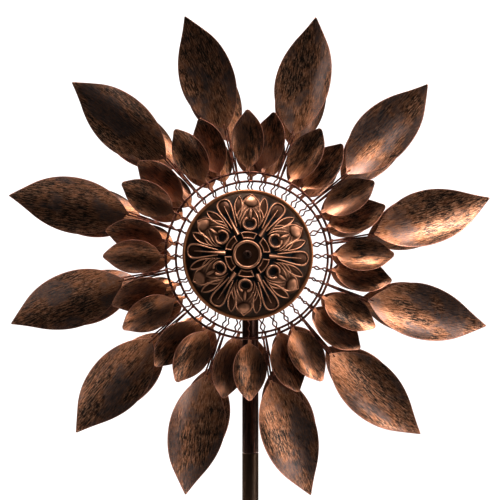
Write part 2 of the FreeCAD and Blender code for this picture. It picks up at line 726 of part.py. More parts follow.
def make_petals():
    large = Leaf("large", number(LARGE_REACH), number("tab_lap"))
    small = Leaf("small", number(SMALL_REACH), number("small_gap + weld_bite"))
    large_body = leaf_blank(large)
    small_body = leaf_blank(small)
    on_stem = number("ring_offset + stem_wire / 2 - weld_bite")
    on_ring = number("ring_offset - petal_thick")
    stem = stem_blank()
    large_angles = circle_of_angles(int(number("large_count")), number("large_first"))
    for side, rotor in ((FRONT, "front"), (REAR, "rear")):
        for index, angle in enumerate(large_angles, start=1):
            lean = number("large_lean")
            seat = petal_place(hung(side, angle), side, large, on_stem, lean, number("large_cone"))
            placed(f"{rotor}_large_petal_{index:02d}", large_body, [seat])
        for layer in ("upper", "lower"):
            angles = circle_of_angles(int(number("small_count")), number(f"{layer}_first"))
            raised = number(f"{layer}_cone")
            starts = [outward(side, angle) for angle in angles]
            seats = [petal_place(start, side, small, on_ring, 0, raised) for start in starts]
            placed(f"{rotor}_small_petals_{layer}", small_body, seats)
        level = shift(0, 0, number("ring_offset"))
        roots = [hung(side, angle).multiply(level) for angle in large_angles]
        placed(f"{rotor}_petal_stems", stem, roots)


def make_rotor_frames():
    """Hub, cap, medallion, ring and spokes of both rotors."""
    ring = torus("ring_blank", "ring_size / 2", "ring_wire / 2", "ring_offset")
    blanks = {
        "hub": hub_blank(),
        "hub_cap": cap_blank(),
        "medallion": medallion_blank(),
        "medallion_screw": centre_screw_blank(),
        "ring": ring,
    }
    spoke = spoke_blank()
    spoke_angles = circle_of_angles(int(number("spoke_count")))
    over_ring = shift(number("ring_size / 2"), 0, number(SPOKE_SEAT))
    slope = math.degrees(math.atan(number(SPOKE_SLOPE)))
    sloped = turn(Y_AXIS, slope).multiply(shift(number("spoke_over"), 0, 0))
    for side, rotor in ((FRONT, "front"), (REAR, "rear")):
        for name, blank in blanks.items():
            placed(f"{rotor}_{name}", blank, [outward(side)])
        seats = [outward(side, angle).multiply(over_ring).multiply(sloped) for angle in spoke_angles]
        placed(f"{rotor}_crimped_spokes", spoke, seats)


def check_and_write():
    """Stop on any failed object or bad shape, then write one file for each sub-part."""
    document.recompute()
    for item in document.Objects:
        if "Invalid" in item.State or "Error" in item.State:
            raise RuntimeError(f"{item.Name} failed: {item.State}")
    for item in sub_parts:
        if item.Shape.isNull() or not item.Shape.isValid() or not item.Shape.Solids:
            raise RuntimeError(f"{item.Label} has no sound solid")
    os.makedirs("parts", exist_ok=True)
    for item in sub_parts:
        item.Shape.exportStep(f"parts/{item.Label}.step")
        print(item.Label, len(item.Shape.Solids), "solids", round(item.Shape.Volume), "mm3")


fill_sheet()
make_stake()
make_pole()
make_head()
make_bearings()
make_rotor_frames()
make_petals()
check_and_write()
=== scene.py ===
import math

import bmesh
import bpy
import numpy as np
from mathutils import Matrix, Vector, noise


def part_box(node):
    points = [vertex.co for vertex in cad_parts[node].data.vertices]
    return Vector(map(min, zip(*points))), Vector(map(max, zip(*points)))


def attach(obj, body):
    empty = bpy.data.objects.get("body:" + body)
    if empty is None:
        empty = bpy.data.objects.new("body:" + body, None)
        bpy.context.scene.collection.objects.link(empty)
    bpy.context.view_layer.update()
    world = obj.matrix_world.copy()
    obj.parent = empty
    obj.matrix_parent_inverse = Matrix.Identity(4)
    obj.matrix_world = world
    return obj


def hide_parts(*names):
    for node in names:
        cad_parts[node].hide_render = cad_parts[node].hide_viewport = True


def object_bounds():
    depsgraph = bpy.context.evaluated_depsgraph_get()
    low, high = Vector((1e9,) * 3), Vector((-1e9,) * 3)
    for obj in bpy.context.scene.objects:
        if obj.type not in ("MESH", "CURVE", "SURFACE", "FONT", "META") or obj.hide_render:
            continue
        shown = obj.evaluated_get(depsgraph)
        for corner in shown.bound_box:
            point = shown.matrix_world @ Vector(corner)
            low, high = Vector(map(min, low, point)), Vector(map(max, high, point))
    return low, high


# A garden wind spinner. Rotor pieces are drawn once in an outward frame: X and Y lie in the
# rotor's plane as seen from the front, and Z runs out from the pole along the axle.
# The front rotor uses them as drawn and the rear rotor is their mirror image.

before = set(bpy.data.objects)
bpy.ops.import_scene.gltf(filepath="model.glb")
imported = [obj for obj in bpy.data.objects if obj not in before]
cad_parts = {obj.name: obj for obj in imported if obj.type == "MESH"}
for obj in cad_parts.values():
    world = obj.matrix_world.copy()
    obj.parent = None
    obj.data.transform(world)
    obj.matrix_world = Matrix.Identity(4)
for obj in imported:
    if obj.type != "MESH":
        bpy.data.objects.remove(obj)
cad_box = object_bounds()

MM = 0.001
SIDES = (("front", 1), ("rear", -1))

# Places shared with the CAD model.
ring_low, ring_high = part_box("front_ring")
RING_WIRE = 3 * MM
RING_RADIUS = (ring_high.x - ring_low.x) / 2 - RING_WIRE / 2
RING_OUT = -(ring_low.y + ring_high.y) / 2
AXIS_HEIGHT = (ring_low.z + ring_high.z) / 2
WELD_BITE = 0.1 * MM

SPOKE_COUNT = 36
SPOKE_WIRE = 1.8 * MM
SPOKE_INNER = 32 * MM
SPOKE_OVER = 0.7 * MM
SPOKE_RISE = 12.5 * MM
SPOKE_SLOPE = math.atan(SPOKE_RISE / (RING_RADIUS - SPOKE_INNER))
SPOKE_OUT = RING_OUT + (RING_WIRE + SPOKE_WIRE) / 2 - WELD_BITE
CRIMPS = 13
CRIMP_SWING = 1.2 * MM

STEM_WIRE = 2 * MM
STEM_SPREAD = 4 * MM
STEM_LAP = 6 * MM

PETAL_THICK = 0.9 * MM
PETAL_PITCH = math.radians(20)
PETALS = 12
RIM_PLANE = RING_OUT + 29 * MM
DOME_RADIUS = 75 * MM
CROWN_RISE = 15 * MM
CROWN = RIM_PLANE + CROWN_RISE
MEDALLION_TURN = math.radians(26)
BAND_WIDTH = 2.4 * MM
BOSS_FACE = CROWN + 2 * MM

POLE_WALL = 1.2 * MM

# Hand-made unevenness. A wobble's scale is about its number of lumps per metre, and a weld's is
# per radius. Seeds of the rear rotor's petals start further on, so that no two petals are alike.
SEED_STEP = (3.7, 1.9, 5.3)
REAR_SEED = 40
WIRE_END_ANGLES = (80, 60, 35)
WELD_LUMPS = 0.28
WELD_LUMP_SCALE = 1.6


# ---------------------------------------------------------------- building meshes


class Skin:
    """A mesh being built from closed grids, with named values at its points."""

    def __init__(self):
        self.points = []
        self.faces = []
        self.count = 0
        self.marks = {}

    def add(self, points, faces, **marks):
        self.points.append(points)
        self.faces.extend([tuple(index + self.count for index in face) for face in faces])
        self.count += len(points)
        for mark, values in marks.items():
            self.marks.setdefault(mark, []).append(values)


def grid_faces(rows, columns, closed_rows=False):
    """Quads between the rows of a grid whose columns close on themselves."""
    faces = []
    for row in range(rows if closed_rows else rows - 1):
        here = row * columns
        there = (row + 1) % rows * columns
        for column in range(columns):
            across = (column + 1) % columns
            faces.append((here + column, here + across, there + across, there + column))
    return faces


def capped(points, faces, columns):
    """Close both ends of a grid of rings with a fan to the middle of each end ring."""
    first, last = points[:columns], points[-columns:]
    start, end = len(points), len(points) + 1
    tail = len(points) - columns
    for column in range(columns):
        across = (column + 1) % columns
        faces.append((start, across, column))
        faces.append((end, tail + column, tail + across))
    middles = np.array([first.mean(axis=0), last.mean(axis=0)])
    return np.vstack([points, middles]), faces


def lathed(rows, sides):
    """Rings round the Z axis from rows of radius and height; a radius may vary round its ring."""
    turns = np.arange(sides) * 2 * math.pi / sides
    rings = [
        np.column_stack([radius * np.cos(turns), radius * np.sin(turns), np.full(sides, height)])
        for radius, height in rows
    ]
    return np.vstack(rings)


def moved(points, matrix):
    """The points after a 4 by 4 matrix."""
    turn = np.array(matrix)[:3, :3]
    return points @ turn.T + np.array(matrix)[:3, 3]


def turned(angle):
    return Matrix.Rotation(angle, 4, "Z")


def shifted(x, y, z):
    return Matrix.Translation((x, y, z))


def make_object(name, skin, side, smooth=True):
    """Turn a skin in the outward frame into an object of one rotor."""
    points = np.vstack(skin.points)
    world = np.empty_like(points)
    world[:, 0] = points[:, 0]
    world[:, 1] = -side * points[:, 2]
    world[:, 2] = AXIS_HEIGHT + points[:, 1]
    return finished(name, world, skin, smooth)


def make_upright(name, skin, smooth=True):
    """Turn a skin already in the model's own frame into an object."""
    return finished(name, np.vstack(skin.points), skin, smooth)


def finished(name, world, skin, smooth):
    """An object with the skin's faces and marks, its normals pointing out."""
    mesh = bpy.data.meshes.new(name)
    mesh.from_pydata(world.tolist(), [], skin.faces)
    for mark, parts in skin.marks.items():
        values = np.concatenate(parts)
        kind = "FLOAT_VECTOR" if values.ndim == 2 else "FLOAT"
        field = "vector" if values.ndim == 2 else "value"
        layer = mesh.attributes.new(mark, kind, "POINT")
        layer.data.foreach_set(field, values.astype(np.float32).ravel())
    built = bmesh.new()
    built.from_mesh(mesh)
    bmesh.ops.recalc_face_normals(built, faces=built.faces)
    built.to_mesh(mesh)
    built.free()
    for polygon in mesh.polygons:
        polygon.use_smooth = smooth
    piece = bpy.data.objects.new(name, mesh)
    bpy.context.collection.objects.link(piece)
    return piece


def installed(piece, body, material, slot, *nodes):
    """Paint a piece, put it on its body and hide the CAD nodes that it stands for."""
    piece.data.materials.append(material)
    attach(piece, body)
    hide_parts(*nodes)
    return piece


def smooth_step(value):
    value = np.clip(value, 0, 1)
    return value * value * (3 - 2 * value)


def wobble(points, scale, seed):
    """Smooth noise at each point, from -1 to 1."""
    offset = Vector([seed * step for step in SEED_STEP])
    return np.array([noise.noise(Vector(point) * scale + offset) for point in points])


def wire(path, radius, up, sides=10, closed=False):
    """A round wire along a path that never runs along up; open ends are domed."""
    path = np.asarray(path, float)
    if closed:
        along = np.roll(path, -1, axis=0) - np.roll(path, 1, axis=0)
    else:
        along = np.gradient(path, axis=0)
    along /= np.linalg.norm(along, axis=1)[:, None]
    side = np.cross(up, along)
    side /= np.linalg.norm(side, axis=1)[:, None]
    lift = np.cross(along, side)
    radii = np.full(len(path), radius) if np.isscalar(radius) else radius
    if not closed:
        dome = np.radians(WIRE_END_ANGLES)
        head = [path[0] - along[0] * radii[0] * math.sin(angle) for angle in dome]
        tail = [path[-1] + along[-1] * radii[-1] * math.sin(angle) for angle in dome[::-1]]
        path = np.vstack([head, path, tail])
        shrink = np.cos(dome)
        radii = np.concatenate([radii[0] * shrink, radii, radii[-1] * shrink[::-1]])
        ends = len(dome)
        side = np.vstack([side[:1]] * ends + [side] + [side[-1:]] * ends)
        lift = np.vstack([lift[:1]] * ends + [lift] + [lift[-1:]] * ends)
    turns = np.arange(sides) * 2 * math.pi / sides
    rings = (
        path[:, None, :]
        + radii[:, None, None] * np.cos(turns)[None, :, None] * side[:, None, :]
        + radii[:, None, None] * np.sin(turns)[None, :, None] * lift[:, None, :]
    )
    points = rings.reshape(-1, 3)
    faces = grid_faces(len(path), sides, closed)
    return (points, faces) if closed else capped(points, faces, sides)


def weld(centre, radii, seed, rings=7, sides=12):
    """A lumpy dab of weld metal."""
    ball = []
    for ring in range(1, rings):
        tilt = math.pi * ring / rings
        for turn in range(sides):
            angle = 2 * math.pi * turn / sides
            level = math.sin(tilt)
            ball.append((level * math.cos(angle), level * math.sin(angle), math.cos(tilt)))
    points, faces = capped(np.array(ball), grid_faces(rings - 1, sides), sides)
    points = points * (1 + WELD_LUMPS * wobble(points, WELD_LUMP_SCALE, seed))[:, None]
    return points * np.array(radii) + np.array(centre), faces


# ---------------------------------------------------------------- petals


TAB_WIDTH = 5 * MM
BASE_NARROWING = 0.5 * MM

# The rows crowd towards a petal's ends, and the rolled edge takes at most this share of its width.
ROW_CROWDING = 0.55
EDGE_ANGLES = (60, 20, -20, -60)
EDGE_LIMIT = 0.9

DENT_DEPTH = 0.45 * MM
WIDE_DENT_SCALE = 34
FINE_DENT_SCALE = 90
FINE_DENT_SHARE = 0.4
FINE_DENT_SEED = 5

# How far apart two petals lie in the paint's noise, in metres.
PAINT_STEP = 0.1


class Leaf:
    """One kind of petal: its outline and cup, drawn along X about the middle of its length."""

    def __init__(self, length, width, widest, tip, across, along, gap, tab, nose):
        self.half = length / 2
        self.top = width / 2
        self.swell = length * (widest - 0.5)
        self.tip = math.radians(tip)
        self.across = across
        self.along = along
        self.reach = RING_RADIUS + RING_WIRE / 2 + gap
        self.tab = tab
        self.tab_half = TAB_WIDTH / 2
        run = self.half + self.swell
        self.base_arc = (run ** 2 + self.top ** 2) / (2 * self.top)
        fall = self.top - (self.half - self.swell) * math.tan(self.tip)
        self.tip_arc = fall / (1 - 1 / math.cos(self.tip))
        self.bend = self.swell + self.tip_arc * math.sin(self.tip)
        self.nose = nose
        self.nose_middle = self.half - nose / math.sin(self.tip)
        self.end = self.nose_middle + nose

    def half_width(self, x):
        """Half the petal's width at x: two arcs, then a straight run into the rounded tip."""
        base = self.top - self.base_arc + np.sqrt(np.maximum(self.base_arc ** 2 - (x - self.swell) ** 2, 0))
        arc = self.top - self.tip_arc + np.sqrt(np.maximum(self.tip_arc ** 2 - (x - self.swell) ** 2, 0))
        straight = (self.half - x) * math.tan(self.tip)
        width = np.where(x < self.swell, np.maximum(base, self.tab_half), arc)
        width = np.where(x > self.bend, straight, width)
        rounded = np.sqrt(np.maximum(self.nose ** 2 - (x - self.nose_middle) ** 2, 0))
        return np.where(x > self.nose_middle + self.nose * math.sin(self.tip), rounded, width)

    def depth(self, x, y, lift):
        """Height of the sheet at a point, with lift measured from its convex skin."""
        ring = self.along - self.across + np.sqrt((self.across - lift) ** 2 - y ** 2)
        return -np.sqrt(ring ** 2 - x ** 2)

    def seat_depth(self):
        """How far the middle of the length stands above the base."""
        return math.sqrt(self.along ** 2 - self.half ** 2)


LARGE = Leaf(
    length=150 * MM, width=72.5 * MM, widest=0.44, tip=34, across=68 * MM, along=340 * MM,
    gap=53.5 * MM, tab=1 * MM, nose=1.6 * MM,
)
SMALL = Leaf(
    length=74 * MM, width=44 * MM, widest=0.45, tip=42, across=32 * MM, along=95 * MM,
    gap=3.5 * MM, tab=3.6 * MM, nose=4.5 * MM,
)
LARGE_FIRST = math.radians(10)
LARGE_LEAN = math.radians(9.7)
STEM_SAG = math.radians(2)

# Where each layer of small petals starts round the ring, and how far its tips rise.
LAYERS = {
    "upper": (math.radians(0.4), math.radians(7)),
    "lower": (math.radians(20), math.radians(2)),
}
TIP_BEAD = 1.1 * MM
BEAD_RUN = 4 * MM
SMALL_TIP = 0.5 * MM

# Rows along a petal and points across its face.
LARGE_GRID = (56, 26)
SMALL_GRID = (48, 20)
SMALL_SEED = 100
LAYER_SEED = 20


def petal(leaf, seed, rows, across, bead):
    """A cupped sheet with rounded edges and its marks: place, distance from the rim, share of length."""
    start, end = -leaf.half - leaf.tab, leaf.end
    crowded = 0.5 - 0.5 * np.cos(np.linspace(0, math.pi, rows))
    share = ROW_CROWDING * crowded + (1 - ROW_CROWDING) * np.linspace(0, 1, rows)
    stations = start + (end - start) * share
    widths = np.maximum(leaf.half_width(stations), bead)
    widths[0] -= BASE_NARROWING
    widths[-1] -= bead / 3
    swell = smooth_step(1 - (end - stations) / BEAD_RUN)
    thick = PETAL_THICK + (2 * bead - PETAL_THICK) * swell * (bead > PETAL_THICK)
    flat = np.linspace(-1, 1, across)
    bulge = np.radians(EDGE_ANGLES)
    columns = 2 * across + 2 * len(bulge)
    x, y, lift, rim = [], [], [], []
    for station, width, sheet in zip(stations, widths, thick):
        round_over = min(sheet / 2, width * EDGE_LIMIT)
        inside = width - round_over
        top = PETAL_THICK / 2 + sheet / 2
        low = PETAL_THICK / 2 - sheet / 2
        edge = inside + round_over * np.cos(bulge)
        edge_lift = PETAL_THICK / 2 + sheet / 2 * np.sin(bulge)
        y.append(np.concatenate([flat * inside, edge, -flat * inside, -edge[::-1]]))
        over, under = np.full(across, top), np.full(across, low)
        lift.append(np.concatenate([over, edge_lift, under, edge_lift[::-1]]))
        x.append(np.full(columns, station))
        rim.append(width - np.abs(y[-1]))
    x, y, lift, rim = (np.concatenate(part) for part in (x, y, lift, rim))
    points = np.column_stack([x, y, leaf.depth(x, y, lift)])
    sheet_place = np.column_stack([x, y, np.full(len(x), PAINT_STEP * seed)])
    dents = wobble(sheet_place, WIDE_DENT_SCALE, seed)
    dents += FINE_DENT_SHARE * wobble(sheet_place, FINE_DENT_SCALE, seed + FINE_DENT_SEED)
    points[:, 2] += DENT_DEPTH * dents
    points, faces = capped(points, grid_faces(rows, columns), columns)
    marks = {
        "place": np.vstack([sheet_place, sheet_place[:1], sheet_place[-1:]]),
        "rim": np.concatenate([rim, [0, 0]]),
        "along": np.concatenate([(x - start) / (end - start), [0, 1]]),
    }
    return points, faces, marks


def hung(angle):
    """A stem's frame, swung down about the stem's weld on the ring: a level one hangs lowest."""
    swing = turned(-STEM_SAG * math.cos(angle))
    return turned(angle) @ shifted(RING_RADIUS, 0, 0) @ swing @ shifted(-RING_RADIUS, 0, 0)


def petal_seat(leaf, start, lift, lean, cone):
    """Seat a petal's base on its reach, lean it, raise its tip, and turn it about its own length."""
    return (
        start
        @ shifted(leaf.reach, 0, lift)
        @ turned(lean)
        @ Matrix.Rotation(-cone, 4, "Y")
        @ Matrix.Rotation(-PETAL_PITCH, 4, "X")
        @ shifted(leaf.half, 0, leaf.seat_depth())
    )


def circle_of_angles(count, first=0.0):
    return [first + index * 2 * math.pi / count for index in range(count)]


def make_petals(rotor, side, long_material, short_material):
    body = f"{rotor}_rotor"
    on_stem = RING_OUT + STEM_WIRE / 2 - WELD_BITE
    for index, angle in enumerate(circle_of_angles(PETALS, LARGE_FIRST), start=1):
        seed = index if side > 0 else index + REAR_SEED
        points, faces, marks = petal(LARGE, seed, *LARGE_GRID, TIP_BEAD)
        seat = petal_seat(LARGE, hung(angle), on_stem, LARGE_LEAN, 0)
        skin = Skin()
        skin.add(moved(points, seat), faces, **marks)
        piece = make_object(f"{rotor}_long_petal_{index:02d}", skin, side)
        installed(piece, body, long_material, "petal_copper", f"{rotor}_large_petal_{index:02d}")
    for order, (layer, (first, cone)) in enumerate(LAYERS.items()):
        skin = Skin()
        for index, angle in enumerate(circle_of_angles(PETALS, first), start=1):
            seed = SMALL_SEED + LAYER_SEED * order + index + (REAR_SEED if side < 0 else 0)
            points, faces, marks = petal(SMALL, seed, *SMALL_GRID, SMALL_TIP)
            seat = petal_seat(SMALL, turned(angle), RING_OUT - PETAL_THICK, 0, cone)
            skin.add(moved(points, seat), faces, **marks)
        piece = make_object(f"{rotor}_short_petals_{layer}", skin, side)
        installed(piece, body, short_material, "petal_copper", f"{rotor}_small_petals_{layer}")


# ---------------------------------------------------------------- ring, spokes and stems


OUT = (0, 0, 1)
RING_STEPS = 240
RING_WAVER = 0.03
RING_WAVER_SCALE = 60
RING_SEED = 3

# A spoke's weld is its half lengths; a stem has two welds, each a place and half lengths.
SPOKE_WELD = (1.7 * MM, 1.7 * MM, 1.0 * MM)
SPOKE_WELD_OUT = RING_OUT + 0.42 * RING_WIRE
SPOKE_WELD_SEED = 60
CRIMP_STEPS = 8
CRIMP_SOFTNESS = 0.93
STEM_STEPS = 24
STEM_WELDS = (
    ((RING_RADIUS + 1.2 * MM, 0, RING_OUT), (2.6 * MM, 2.0 * MM, 1.7 * MM)),
    ((LARGE.reach + 2 * MM, 0, RING_OUT), (2.4 * MM, 2.2 * MM, 0.9 * MM)),
)
STEM_WELD_SEED = 130


def on_ring(angle):
    return RING_RADIUS * math.cos(angle), RING_RADIUS * math.sin(angle)


def make_ring(rotor, side, material):
    path = np.array([(*on_ring(angle), RING_OUT) for angle in circle_of_angles(RING_STEPS)])
    radii = RING_WIRE / 2 * (1 + RING_WAVER * wobble(path, RING_WAVER_SCALE, RING_SEED))
    skin = Skin()
    skin.add(*wire(path, radii, OUT, sides=14, closed=True))
    for index, angle in enumerate(circle_of_angles(SPOKE_COUNT)):
        spot = (*on_ring(angle), SPOKE_WELD_OUT)
        skin.add(*weld(spot, SPOKE_WELD, SPOKE_WELD_SEED + index))
    piece = make_object(f"{rotor}_wire_ring", skin, side)
    installed(piece, f"{rotor}_rotor", material, "wire_copper", f"{rotor}_ring")


def spoke_path():
    """A crimped wire: a softened zigzag in the spoke's own plane, from its inner end to the ring."""
    length = RING_RADIUS + SPOKE_OVER - SPOKE_INNER
    crimp = np.linspace(0, CRIMPS, CRIMPS * CRIMP_STEPS + 1)
    zigzag = np.arcsin(CRIMP_SOFTNESS * np.sin(math.pi * crimp)) / math.asin(CRIMP_SOFTNESS)
    return np.column_stack([crimp / CRIMPS * length - length, -CRIMP_SWING * zigzag, 0 * crimp])


def make_spokes(rotor, side, material):
    skin = Skin()
    path = spoke_path()
    for index, angle in enumerate(circle_of_angles(SPOKE_COUNT)):
        seat = (
            turned(angle)
            @ shifted(RING_RADIUS, 0, SPOKE_OUT)
            @ Matrix.Rotation(SPOKE_SLOPE, 4, "Y")
            @ shifted(SPOKE_OVER, 0, 0)
        )
        points, faces = wire(path, SPOKE_WIRE / 2, OUT, sides=8)
        skin.add(moved(points, seat), faces)
    piece = make_object(f"{rotor}_wire_spokes", skin, side)
    installed(piece, f"{rotor}_rotor", material, "wire_copper", f"{rotor}_crimped_spokes")


def make_stems(rotor, side, material):
    skin = Skin()
    reach = LARGE.reach + STEM_LAP
    for index, angle in enumerate(circle_of_angles(PETALS, LARGE_FIRST)):
        for hand in (1, -1):
            share = np.linspace(0, 1, STEM_STEPS)
            x = RING_RADIUS + (reach - RING_RADIUS) * share
            y = hand * STEM_SPREAD / 2 * share
            path = np.column_stack([x, y, np.full(STEM_STEPS, RING_OUT)])
            points, faces = wire(path, STEM_WIRE / 2, OUT, sides=12)
            skin.add(moved(points, hung(angle)), faces)
        for spot, radii in STEM_WELDS:
            points, faces = weld(spot, radii, STEM_WELD_SEED + index)
            skin.add(moved(points, hung(angle)), faces)
    piece = make_object(f"{rotor}_wire_stems", skin, side)
    installed(piece, f"{rotor}_rotor", material, "wire_copper", f"{rotor}_petal_stems")


# ---------------------------------------------------------------- medallion


# The carved pattern, in millimetres: out from the centre, then across from a motif's middle line.
# A mound has a centre, half lengths and a height. A ridge has its curve's four corners, and then
# half its width, its height and its taper.
MOUND_POWER = 0.7
LEAF_MOUNDS = (
    ((38, 3), (10, 9), 1.3),
    ((50, 8), (15, 8), 1.9),
    ((58, 15), (13, 5.5), 1.2),
    ((64.8, 0), (8.5, 11), 2.9),
    ((49.5, 0), (8.5, 2.6), 2.4),
)
EYE = ((30.0, 0), (30.0, 9.0), (41.0, 10.0), (43.4, 3.6))
LOOP_IN = ((44, 12.0), (53, 9.6), (65, 9.8), (69.5, 15.5))
LOOP_OUT = ((40, 13.8), (49, 19.5), (61, 22.5), (69.5, 15.5))
ARCH = ((58, 9.6), (66, 11.0), (68, 5.0), (73.2, 0))
LEAF_RIDGES = (
    (EYE, 1.6, 3.3, 0.0),
    (LOOP_IN, 1.2, 3.0, 0.25),
    (LOOP_OUT, 1.2, 3.0, 0.25),
    (ARCH, 1.1, 2.8, 0.0),
)
STRANDS = 3
STRAND_CORNERS = ((31.5, 10.2), (40, 12.8), (49, 8.0), (55.5, 2.0))
STRAND_STEPS = ((3.0, 1.7), (2.0, 2.6), (2.0, 3.2), (1.2, 3.2))
STRAND_RIDGE = (1.25, 2.5, 0.3)
EYE_HOLLOW = ((36.5, 0), (4.2, 5.2), 1.2)
HOLLOW_SHARE = 0.25

SPEAR_START = 26
SPEAR_TAPER = 38
SPEAR_END = 64.5
SPEAR_HALF = 3.4
SPEAR_POINT = 0.4
SPEAR_HEIGHT = 2.8
SPEAR_POWER = 0.8
BUD = ((36, 3.2), (56, 6.0), (72, 14.5), (72.8, 0))
BUD_STEPS = 60
BUD_RIDGE = (1.45, 2.8, 0.15)
BUD_MOUND = ((63, 0), (10.5, 7.5), 1.3)

# The collar of trays round the boss, and the shell that carries the pattern, in metres.
SECTOR = math.radians(60)
TRAY_INNER = 18.6 * MM
TRAY_OUTER = 27.8 * MM
TRAY_HALF = math.radians(26)
TRAY_GAP = 4 * MM
TRAY_EDGE = 1.1 * MM
TRAY_EDGE_HEIGHT = 2.6 * MM
TRAY_FLOOR = 0.9 * MM
TRAY_FLOOR_RISE = 0.8 * MM

HOLE_RADIUS = 2.05 * MM
HOLE_MOUTH = 2.3 * MM
HOLE_LIP = 0.2 * MM
BOSS_DEPTH = 3 * MM
BOSS_FLAT = (5 * MM, 8 * MM, 11 * MM, 13.2 * MM)
BOSS_RADIUS = 17.3 * MM
BOSS_BEAD = 1.8 * MM
BOSS_BEAD_STEPS = 8
FACE_STEP = 0.5 * MM
FACE_MARGIN = 0.3 * MM
RIM_ROLL = 1.6 * MM
RIM_DROP = 0.5 * MM
RIM_SPREAD = math.radians(110)
RIM_STEPS = 12
SHELL = 1 * MM
BACK_MARGIN = 1.5 * MM
BACK_STEPS = 15

MEDALLION_COLUMNS = 720
CASTING_DEPTH = 0.07 * MM
CASTING_SCALE = 260
CASTING_SEED = 11

# How raised each part counts for the paint, from 0 in a hollow to 1 on a ridge.
FULL_RELIEF = 2.8 * MM
BOSS_TONE = 0.45
BEAD_TONE = 0.9
BACK_TONE = 0.55

# Centre screw: shares of the head's or socket's radius, and heights above the boss in millimetres.
SCREW_SHANK = 2 * MM
SCREW_LENGTH = 15 * MM
SCREW_HEAD = 5.3 * MM
SCREW_SOCKET = 1.9 * MM
SCREW_SIDES = 32
HEAD_STEPS = ((1, 0), (1, 0.8), (0.94, 1.6), (0.78, 2.4), (0.6, 2.8))
SOCKET_STEPS = ((1.08, 2.9), (1, 2.7), (0.96, 0.9))


def bezier(*corners, count=40):
    """Points along a cubic curve, given in millimetres as (out, across)."""
    t = np.linspace(0, 1, count)[:, None]
    a, b, c, d = (np.array(corner, float) * MM for corner in corners)
    return (1 - t) ** 3 * a + 3 * (1 - t) ** 2 * t * b + 3 * (1 - t) * t ** 2 * c + t ** 3 * d


def ridge(out, across, curve, half_width, height, taper=0.0):
    """A rounded ridge along a curve, thinner and lower towards its ends by the taper."""
    gaps = np.hypot(out[..., None] - curve[:, 0], across[..., None] - curve[:, 1])
    nearest = gaps.argmin(axis=-1)
    distance = gaps.min(axis=-1)
    share = nearest / (len(curve) - 1)
    fade = 1 - taper * (2 * share - 1) ** 2
    width = half_width * MM * fade
    return height * MM * fade * np.sqrt(np.clip(1 - (distance / width) ** 2, 0, 1))


def mound(out, across, centre, radii, height):
    """A low oval mound."""
    x = (out - centre[0] * MM) / (radii[0] * MM)
    y = (across - centre[1] * MM) / (radii[1] * MM)
    return height * MM * np.clip(1 - x * x - y * y, 0, 1) ** MOUND_POWER


def strand_corners(strand):
    """The corners of one fine strand; each strand lies further out than the one before."""
    return [
        (out + out_step * strand, across + across_step * strand)
        for (out, across), (out_step, across_step) in zip(STRAND_CORNERS, STRAND_STEPS)
    ]


def leaf_motif(out, across):
    """Half of one carved leaf, standing on the X axis; across is never negative."""
    relief = np.zeros_like(out)
    for shape in LEAF_MOUNDS:
        relief = np.maximum(relief, mound(out, across, *shape))
    for corners, *shape in LEAF_RIDGES:
        relief = np.maximum(relief, ridge(out, across, bezier(*corners), *shape))
    for strand in range(STRANDS):
        curve = bezier(*strand_corners(strand))
        relief = np.maximum(relief, ridge(out, across, curve, *STRAND_RIDGE))
    hollow = mound(out, across, *EYE_HOLLOW)
    return np.where(hollow > 0, HOLLOW_SHARE * relief, relief)


def spear_motif(out, across):
    """Half of one spear between two leaves, standing on the X axis."""
    share = np.clip((out / MM - SPEAR_START) / SPEAR_TAPER, 0, 1)
    blade_half = (SPEAR_HALF * (1 - share) + SPEAR_POINT) * MM
    blade = SPEAR_HEIGHT * MM * np.clip(1 - across / blade_half, 0, 1) ** SPEAR_POWER
    blade = np.where((out > SPEAR_START * MM) & (out < SPEAR_END * MM), blade, 0)
    bud = ridge(out, across, bezier(*BUD, count=BUD_STEPS), *BUD_RIDGE)
    inside = mound(out, across, *BUD_MOUND)
    return np.maximum(np.maximum(blade, bud), inside)


def collar_motif(radius, angle):
    """One raised tray of the collar: edges up, middle sunk; angle is measured from its middle."""
    sideways = radius * np.abs(angle)
    half = (radius - TRAY_GAP) * TRAY_HALF
    inside = np.minimum(np.minimum(radius - TRAY_INNER, TRAY_OUTER - radius), half - sideways)
    edge = TRAY_EDGE_HEIGHT * np.sqrt(np.clip(1 - ((inside - TRAY_EDGE) / TRAY_EDGE) ** 2, 0, 1))
    floor = TRAY_FLOOR * smooth_step(inside / TRAY_FLOOR_RISE)
    return np.where(inside > 0, np.maximum(edge, floor), 0)


def relief_at(radius, angle):
    """Height of the pressed pattern above the plain dome; angle is measured from a leaf's middle."""
    folded = np.abs((angle + SECTOR / 2) % SECTOR - SECTOR / 2)
    leaf = leaf_motif(radius * np.cos(folded), radius * np.sin(folded))
    other = SECTOR / 2 - folded
    spear = spear_motif(radius * np.cos(other), radius * np.sin(other))
    collar = collar_motif(radius, folded)
    return np.maximum(np.maximum(leaf, spear), collar)


def dome_height(radius, depth=0.0):
    """Height of the dome's face at a radius, or of a surface the given depth under it."""
    sphere = (DOME_RADIUS ** 2 + CROWN_RISE ** 2) / (2 * CROWN_RISE)
    return CROWN - sphere + math.sqrt((sphere - depth) ** 2 - radius ** 2)


